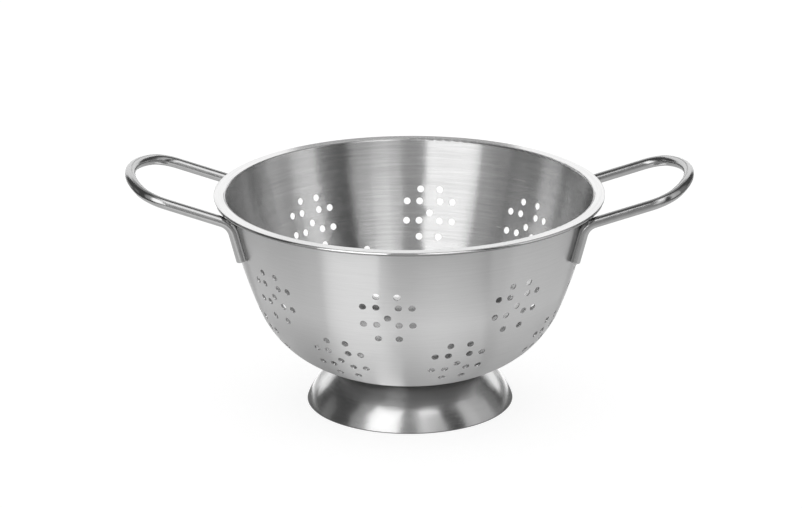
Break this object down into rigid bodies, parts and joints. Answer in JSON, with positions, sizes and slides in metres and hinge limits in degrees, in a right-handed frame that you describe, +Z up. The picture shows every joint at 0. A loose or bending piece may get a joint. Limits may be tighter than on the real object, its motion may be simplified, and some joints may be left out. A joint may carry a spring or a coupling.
{
  "type": "colander",
  "caption": "Round stainless steel colander: a deep bowl with clusters of drain holes and a flat flanged rim, on a flared foot, with two welded wire loop handles.",
  "frame": {"origin": "centre of the foot, on the surface that the colander stands on", "axes": "+Z up along the bowl's axis, +X towards the right handle, -Y towards the pictured front"},
  "size_m": [0.3184, 0.22, 0.1377],
  "materials": {
    "bowl_steel": "brushed round the bowl, satin",
    "foot_steel": "polished with faint turning lines",
    "wire_steel": "polished drawn wire",
    "weld_metal": "dull weld"
  },
  "bodies": {
    "root": {"bowl": "bowl_steel", "foot_ring": "foot_steel", "left_handle": "wire_steel", "right_handle": "wire_steel", "left_handle_welds": "weld_metal", "right_handle_welds": "weld_metal", "foot_welds": "weld_metal"}
  },
  "joints": []
}
